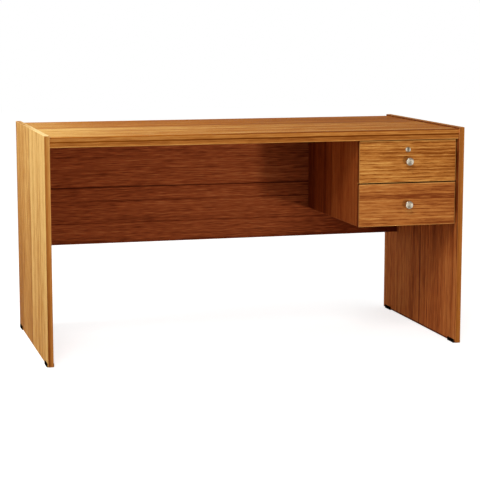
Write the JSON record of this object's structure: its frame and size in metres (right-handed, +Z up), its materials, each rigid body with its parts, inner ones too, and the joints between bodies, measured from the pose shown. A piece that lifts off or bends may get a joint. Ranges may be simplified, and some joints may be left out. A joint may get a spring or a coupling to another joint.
{
  "type": "executive desk",
  "caption": "Wood-veneered office desk with slab ends, a modesty panel and a hung unit of knobbed drawers on roller runners, the upper one with a cam lock.",
  "frame": {"origin": "on the floor, at the middle of the desk's outer box", "axes": "+X to the right of a person who faces the drawer fronts, +Y to the back, +Z up"},
  "size_m": [1.406, 0.692, 0.732],
  "materials": {
    "veneer": "satin lacquered teak veneer",
    "drawer_board": "plain pale board",
    "drawer_bottom": "thin hardboard",
    "dowel_wood": "bare beech",
    "shoe_plastic": "black moulded",
    "runner_steel": "off-white baked coating",
    "screw_steel": "zinc plated",
    "roller_nylon": "white nylon",
    "knob_nickel": "satin nickel",
    "lock_nickel": "nickel plated"
  },
  "bodies": {
    "desk": {"left_end_panel": "veneer", "right_end_panel": "veneer", "top_panel": "veneer", "front_lipping": "veneer", "lipping_tongue": "dowel_wood", "modesty_panel": "veneer", "drawer_unit_side": "veneer", "carcass_dowels": "dowel_wood", "shoe_front_left": "shoe_plastic", "shoe_front_right": "shoe_plastic", "shoe_rear_left": "shoe_plastic", "shoe_rear_right": "shoe_plastic", "cabinet_runner_screws": "screw_steel", "cabinet_roller_axles": "runner_steel", "cabinet_runner_upper_left": "runner_steel", "cabinet_runner_upper_right": "runner_steel", "cabinet_runner_lower_left": "runner_steel", "cabinet_runner_lower_right": "runner_steel"},
    "upper_drawer": {"upper_drawer_front": "veneer", "upper_drawer_left_side": "drawer_board", "upper_drawer_right_side": "drawer_board", "upper_drawer_back": "drawer_board", "upper_drawer_bottom": "drawer_bottom", "upper_drawer_pins": "dowel_wood", "upper_drawer_runner_left": "runner_steel", "upper_drawer_runner_right": "runner_steel", "upper_drawer_runner_screws": "screw_steel", "upper_drawer_axles": "runner_steel", "upper_drawer_knob": "knob_nickel", "upper_drawer_knob_screw": "screw_steel", "lock_barrel": "lock_nickel", "lock_nut": "screw_steel"},
    "lower_drawer": {"lower_drawer_front": "veneer", "lower_drawer_left_side": "drawer_board", "lower_drawer_right_side": "drawer_board", "lower_drawer_back": "drawer_board", "lower_drawer_bottom": "drawer_bottom", "lower_drawer_pins": "dowel_wood", "lower_drawer_runner_left": "runner_steel", "lower_drawer_runner_right": "runner_steel", "lower_drawer_runner_screws": "screw_steel", "lower_drawer_axles": "runner_steel", "lower_drawer_knob": "knob_nickel", "lower_drawer_knob_screw": "screw_steel"},
    "lock_plug": {"lock_plug": "lock_nickel", "lock_cam": "screw_steel", "lock_cam_screw": "screw_steel"},
    "front_roller_upper_left": {"front_roller_upper_left": "roller_nylon"},
    "rear_roller_upper_left": {"rear_roller_upper_left": "roller_nylon"},
    "front_roller_upper_right": {"front_roller_upper_right": "roller_nylon"},
    "rear_roller_upper_right": {"rear_roller_upper_right": "roller_nylon"},
    "front_roller_lower_left": {"front_roller_lower_left": "roller_nylon"},
    "rear_roller_lower_left": {"rear_roller_lower_left": "roller_nylon"},
    "front_roller_lower_right": {"front_roller_lower_right": "roller_nylon"},
    "rear_roller_lower_right": {"rear_roller_lower_right": "roller_nylon"}
  },
  "joints": [
    {"name": "upper_drawer_slide", "type": "slide", "parent": "desk", "child": "upper_drawer", "axis": [0, -1, 0], "range_m": [0, 0.35]},
    {"name": "lower_drawer_slide", "type": "slide", "parent": "desk", "child": "lower_drawer", "axis": [0, -1, 0], "range_m": [0, 0.35]},
    {"name": "lock_turn", "type": "hinge", "parent": "upper_drawer", "child": "lock_plug", "pos_m": [0.5065, -0.3, 0.661], "axis": [0, 1, 0], "range_deg": [0, 90]},
    {"name": "front_roller_upper_left_turn", "type": "hinge", "parent": "desk", "child": "front_roller_upper_left", "pos_m": [0.36, -0.289, 0.5822], "axis": [1, 0, 0], "range_deg": [0, 1830]},
    {"name": "rear_roller_upper_left_turn", "type": "hinge", "parent": "upper_drawer", "child": "rear_roller_upper_left", "pos_m": [0.36, 0.14, 0.58025], "axis": [1, 0, 0], "range_deg": [0, 1830]},
    {"name": "front_roller_upper_right_turn", "type": "hinge", "parent": "desk", "child": "front_roller_upper_right", "pos_m": [0.676, -0.289, 0.5822], "axis": [1, 0, 0], "range_deg": [0, 1830]},
    {"name": "rear_roller_upper_right_turn", "type": "hinge", "parent": "upper_drawer", "child": "rear_roller_upper_right", "pos_m": [0.676, 0.14, 0.58025], "axis": [1, 0, 0], "range_deg": [0, 1830]},
    {"name": "front_roller_lower_left_turn", "type": "hinge", "parent": "desk", "child": "front_roller_lower_left", "pos_m": [0.36, -0.289, 0.4372], "axis": [1, 0, 0], "range_deg": [0, 1830]},
    {"name": "rear_roller_lower_left_turn", "type": "hinge", "parent": "lower_drawer", "child": "rear_roller_lower_left", "pos_m": [0.36, 0.14, 0.43525], "axis": [1, 0, 0], "range_deg": [0, 1830]},
    {"name": "front_roller_lower_right_turn", "type": "hinge", "parent": "desk", "child": "front_roller_lower_right", "pos_m": [0.676, -0.289, 0.4372], "axis": [1, 0, 0], "range_deg": [0, 1830]},
    {"name": "rear_roller_lower_right_turn", "type": "hinge", "parent": "lower_drawer", "child": "rear_roller_lower_right", "pos_m": [0.676, 0.14, 0.43525], "axis": [1, 0, 0], "range_deg": [0, 1830]}
  ],
  "couplings": [
    {"joint": "front_roller_upper_left_turn", "follows": "upper_drawer_slide", "rad_per_m": 90.909},
    {"joint": "rear_roller_upper_left_turn", "follows": "upper_drawer_slide", "rad_per_m": 90.909},
    {"joint": "front_roller_upper_right_turn", "follows": "upper_drawer_slide", "rad_per_m": 90.909},
    {"joint": "rear_roller_upper_right_turn", "follows": "upper_drawer_slide", "rad_per_m": 90.909},
    {"joint": "front_roller_lower_left_turn", "follows": "lower_drawer_slide", "rad_per_m": 90.909},
    {"joint": "rear_roller_lower_left_turn", "follows": "lower_drawer_slide", "rad_per_m": 90.909},
    {"joint": "front_roller_lower_right_turn", "follows": "lower_drawer_slide", "rad_per_m": 90.909},
    {"joint": "rear_roller_lower_right_turn", "follows": "lower_drawer_slide", "rad_per_m": 90.909}
  ]
}
